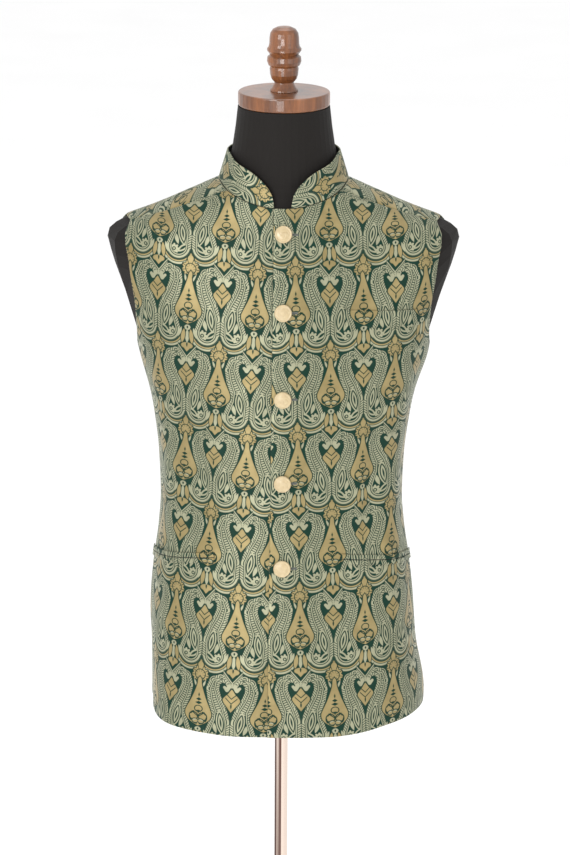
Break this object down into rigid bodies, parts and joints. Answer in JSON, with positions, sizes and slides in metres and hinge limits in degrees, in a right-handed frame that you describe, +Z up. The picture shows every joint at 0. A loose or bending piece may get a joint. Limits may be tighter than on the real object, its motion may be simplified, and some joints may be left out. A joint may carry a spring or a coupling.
{
  "type": "nehru jacket on a dress form",
  "caption": "A sleeveless nehru jacket in green and gold paisley brocade, buttoned down the front, worn by a black limbless dress form with a turned wooden cap on a metal pole and round foot.",
  "frame": {"origin": "on the floor, under the middle of the round foot", "axes": "+Z up along the pole, -Y out of the jacket's front, +X towards the wearer's left"},
  "size_m": [0.4682, 0.34, 1.6772],
  "materials": {
    "brocade": "jacquard brocade, dark green ground with tan gold and pale green paisleys, soft silky sheen",
    "button": "cream, domed, finely engraved, satin gloss",
    "form_cover": "smooth matt black stretch cover",
    "wood": "turned hardwood, brown stain, glossy varnish",
    "steel": "polished chromed steel"
  },
  "bodies": {
    "root": {"front_right": "brocade", "front_left": "brocade", "back": "brocade", "collar": "brocade", "hip_pocket_right_upper_jet": "brocade", "hip_pocket_right_lower_jet": "brocade", "hip_pocket_left_upper_jet": "brocade", "hip_pocket_left_lower_jet": "brocade", "chest_welt": "brocade", "button_1": "button", "button_2": "button", "button_3": "button", "button_4": "button", "button_5": "button", "form_body": "form_cover", "neck_cap": "wood", "finial": "wood", "pole": "steel", "base": "steel"}
  },
  "joints": []
}
